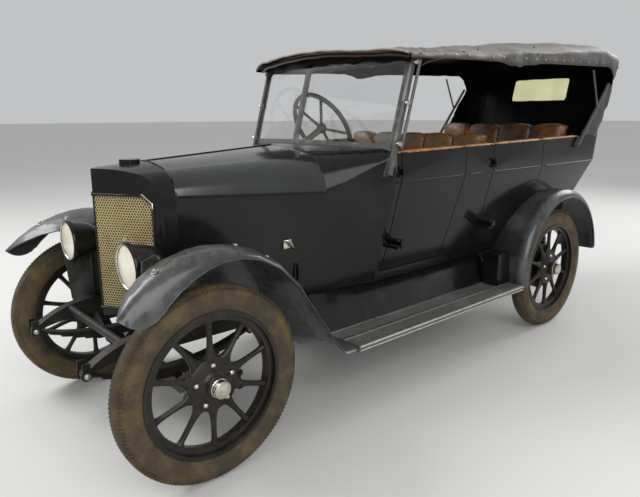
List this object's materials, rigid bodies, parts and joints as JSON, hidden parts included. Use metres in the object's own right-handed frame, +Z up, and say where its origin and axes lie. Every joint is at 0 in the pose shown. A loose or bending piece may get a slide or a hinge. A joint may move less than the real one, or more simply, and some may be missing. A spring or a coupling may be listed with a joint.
{
  "type": "vintage touring car",
  "caption": "Open four-door touring car of the 1920s with folding canopy, spoked wheels, running boards and a pointed radiator; wheels, steering and doors move.",
  "frame": {"origin": "on the ground under the middle of the bounding box", "axes": "+X to the car's left, +Y to its rear, +Z up"},
  "size_m": [1.46, 4.06, 1.998],
  "materials": {
    "body_paint": "worn satin",
    "shell_paint": "worn satin",
    "core_brass": "dull, aged",
    "fender_paint": "worn satin",
    "chassis_paint": "dusty matt",
    "engine_metal": "oily",
    "wheel_paint": "worn satin",
    "tyre": "dusty",
    "board": "painted, worn",
    "floor_wood": "stained",
    "lamp_paint": "satin",
    "lamp_glass": "frosted by age",
    "pane_glass": "clear",
    "screen_metal": "worn",
    "column_paint": "satin",
    "wheel_rim_black": "polished",
    "cushion_leather": "worn",
    "back_leather": "worn",
    "canopy_cloth": "weathered",
    "toolbox_paint": "worn satin"
  },
  "bodies": {
    "body": {"scuttle": "body_paint", "dashboard": "floor_wood", "bonnet_top": "body_paint", "bonnet_sides": "body_paint", "radiator_shell": "shell_paint", "radiator_core": "core_brass", "frame": "chassis_paint", "springs": "chassis_paint", "front_axle": "chassis_paint", "rear_axle": "chassis_paint", "engine": "engine_metal", "floor": "floor_wood", "tub": "body_paint", "splash_aprons": "fender_paint", "running_boards": "board", "front_fenders": "fender_paint", "rear_fenders": "fender_paint", "headlamps": "lamp_paint", "headlamp_glass": "lamp_glass", "windscreen_frame": "screen_metal", "windscreen_glass": "pane_glass", "steering_column": "column_paint", "seat_cushions": "cushion_leather", "seat_backs": "back_leather", "canopy": "canopy_cloth", "rear_window": "pane_glass", "canopy_irons": "screen_metal", "toolbox": "toolbox_paint", "levers": "column_paint"},
    "wheel_front_left": {"wheel_front_left": "wheel_paint", "tyre_front_left": "tyre"},
    "door_front_left": {"door_front_left": "body_paint"},
    "wheel_front_right": {"wheel_front_right": "wheel_paint", "tyre_front_right": "tyre"},
    "door_front_right": {"door_front_right": "body_paint"},
    "wheel_rear_left": {"wheel_rear_left": "wheel_paint", "tyre_rear_left": "tyre"},
    "door_rear_left": {"door_rear_left": "body_paint"},
    "wheel_rear_right": {"wheel_rear_right": "wheel_paint", "tyre_rear_right": "tyre"},
    "door_rear_right": {"door_rear_right": "body_paint"},
    "knuckle_left": {"knuckle_left": "chassis_paint"},
    "knuckle_right": {"knuckle_right": "chassis_paint"},
    "tie_rod": {"tie_rod": "chassis_paint"},
    "steering_wheel": {"steering_wheel": "wheel_rim_black"}
  },
  "joints": [
    {"name": "knuckle_left_steer", "type": "hinge", "parent": "body", "child": "knuckle_left", "pos_m": [0.545, -1.62, 0.41], "axis": [0, 0, 1], "range_deg": [-28, 28]},
    {"name": "knuckle_right_steer", "type": "hinge", "parent": "body", "child": "knuckle_right", "pos_m": [-0.545, -1.62, 0.41], "axis": [0, 0, 1], "range_deg": [-28, 28]},
    {"name": "tie_rod_pivot", "type": "hinge", "parent": "knuckle_left", "child": "tie_rod", "pos_m": [0.545, -1.43, 0.312], "axis": [0, 0, 1], "range_deg": [-28, 28]},
    {"name": "steering_wheel_turn", "type": "hinge", "parent": "body", "child": "steering_wheel", "pos_m": [-0.33, -0.162, 1.373], "axis": [0, 0.8704, 0.4924], "range_deg": [-340, 340]},
    {"name": "wheel_front_left_spin", "type": "hinge", "parent": "knuckle_left", "child": "wheel_front_left", "pos_m": [0.637, -1.62, 0.41], "axis": [1, 0, 0], "continuous": true},
    {"name": "wheel_front_right_spin", "type": "hinge", "parent": "knuckle_right", "child": "wheel_front_right", "pos_m": [-0.637, -1.62, 0.41], "axis": [1, 0, 0], "continuous": true},
    {"name": "wheel_rear_left_spin", "type": "hinge", "parent": "body", "child": "wheel_rear_left", "pos_m": [0.637, 1.08, 0.41], "axis": [1, 0, 0], "continuous": true},
    {"name": "wheel_rear_right_spin", "type": "hinge", "parent": "body", "child": "wheel_rear_right", "pos_m": [-0.637, 1.08, 0.41], "axis": [1, 0, 0], "continuous": true},
    {"name": "door_front_left_swing", "type": "hinge", "parent": "body", "child": "door_front_left", "pos_m": [0.614, -0.453, 1], "axis": [0, 0, 1], "range_deg": [-62, 0]},
    {"name": "door_front_right_swing", "type": "hinge", "parent": "body", "child": "door_front_right", "pos_m": [-0.614, -0.453, 1], "axis": [0, 0, 1], "range_deg": [0, 62]},
    {"name": "door_rear_left_swing", "type": "hinge", "parent": "body", "child": "door_rear_left", "pos_m": [0.614, 0.387, 1], "axis": [0, 0, 1], "range_deg": [-62, 0]},
    {"name": "door_rear_right_swing", "type": "hinge", "parent": "body", "child": "door_rear_right", "pos_m": [-0.614, 0.387, 1], "axis": [0, 0, 1], "range_deg": [0, 62]}
  ],
  "couplings": [
    {"joint": "knuckle_right_steer", "follows": "knuckle_left_steer", "ratio": 1},
    {"joint": "tie_rod_pivot", "follows": "knuckle_left_steer", "ratio": -1},
    {"joint": "steering_wheel_turn", "follows": "knuckle_left_steer", "ratio": 12}
  ]
}
